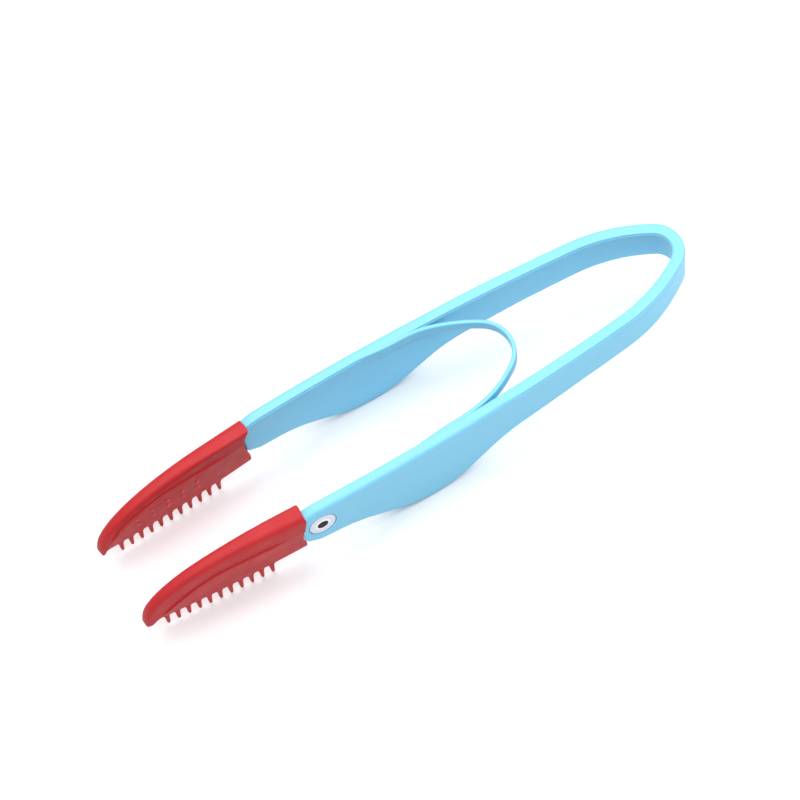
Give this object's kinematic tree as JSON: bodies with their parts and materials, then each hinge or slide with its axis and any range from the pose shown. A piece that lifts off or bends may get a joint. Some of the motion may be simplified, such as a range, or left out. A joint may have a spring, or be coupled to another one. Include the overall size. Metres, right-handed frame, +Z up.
{
  "type": "print tongs",
  "caption": "Sprung U-shaped plastic tongs standing on deep finger blades, with an inner hairpin spring and soft beak-shaped sleeves with spikes on both tips.",
  "frame": {"origin": "on the surface that the finger blades rest on, midway between tips and bow, in the middle plane between the arms", "axes": "+X towards the bow, -X towards the tips; +Y towards the left arm; +Z up from the blades to the flat top edge"},
  "size_m": [0.221, 0.047, 0.0301],
  "materials": {
    "body": "satin moulded plastic, pale sky blue",
    "sleeve": "soft satin red rubber",
    "eye_white": "glossy off-white",
    "eye_dark": "glossy near-black"
  },
  "bodies": {
    "bow": {"bow": "body", "inner_spring": "body"},
    "left_arm": {"left_arm": "body", "left_tip_sleeve": "sleeve", "left_eye_disc": "eye_white", "left_eye_centre": "eye_dark"},
    "right_arm": {"right_arm": "body", "right_tip_sleeve": "sleeve", "right_eye_disc": "eye_white", "right_eye_centre": "eye_dark"}
  },
  "joints": [
    {"name": "left_arm_squeeze", "type": "hinge", "parent": "bow", "child": "left_arm", "pos_m": [0.07672, 0.01708, 0.015], "axis": [0, 0, 1], "range_deg": [0, 4.2], "stiffness_Nm_per_rad": 2, "deforming": ["inner_spring"]},
    {"name": "right_arm_squeeze", "type": "hinge", "parent": "bow", "child": "right_arm", "pos_m": [0.07672, -0.01708, 0.015], "axis": [0, 0, -1], "range_deg": [0, 4.2], "stiffness_Nm_per_rad": 2, "deforming": ["inner_spring"]}
  ],
  "couplings": [
    {"joint": "right_arm_squeeze", "follows": "left_arm_squeeze", "ratio": 1}
  ]
}
